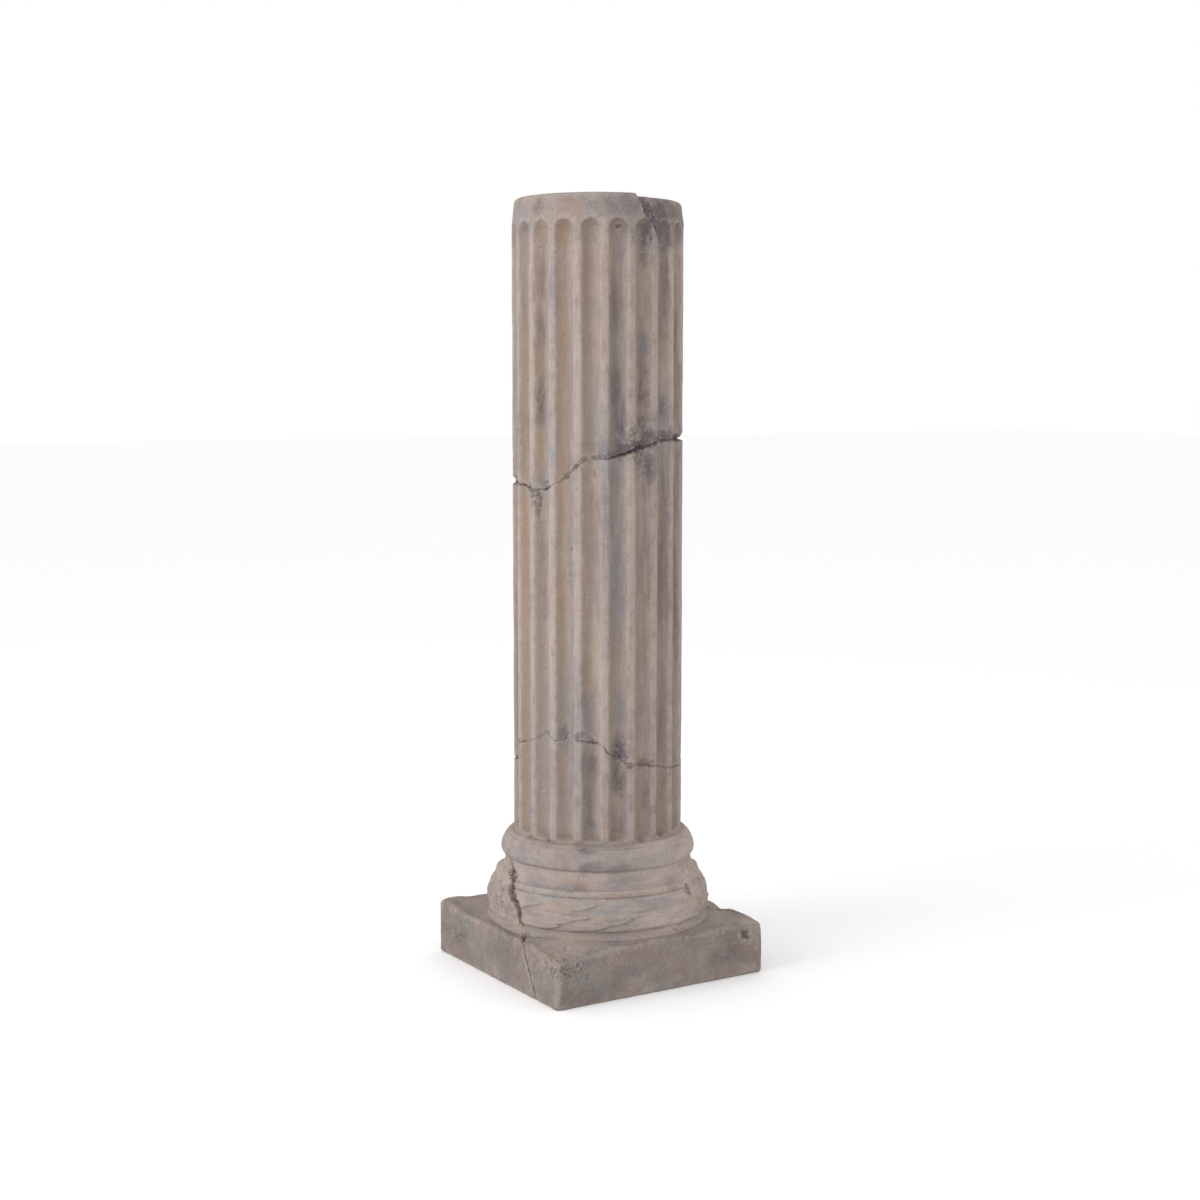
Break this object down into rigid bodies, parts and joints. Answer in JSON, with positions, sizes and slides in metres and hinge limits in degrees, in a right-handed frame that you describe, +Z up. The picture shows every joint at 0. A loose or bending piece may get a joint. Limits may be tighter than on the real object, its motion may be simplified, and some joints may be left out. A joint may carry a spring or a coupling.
{
  "type": "decorative fluted pillar",
  "caption": "Fluted stone pillar on a square plinth, with a leaf-carved base, a plain flat-topped neck, and worn, cracked surfaces; stands as a pedestal or garden ornament.",
  "frame": {"origin": "middle of the plinth's underside", "axes": "+Z up along the pillar's axis; the plinth's faces look along X and Y, and its front corner is towards -X -Y"},
  "size_m": [0.32, 0.32, 1.023],
  "materials": {
    "cast_stone": "matt weathered cast stone, pinkish grey with ochre and blue-grey washes"
  },
  "bodies": {
    "root": {"fluted_pillar": "cast_stone"}
  },
  "joints": []
}
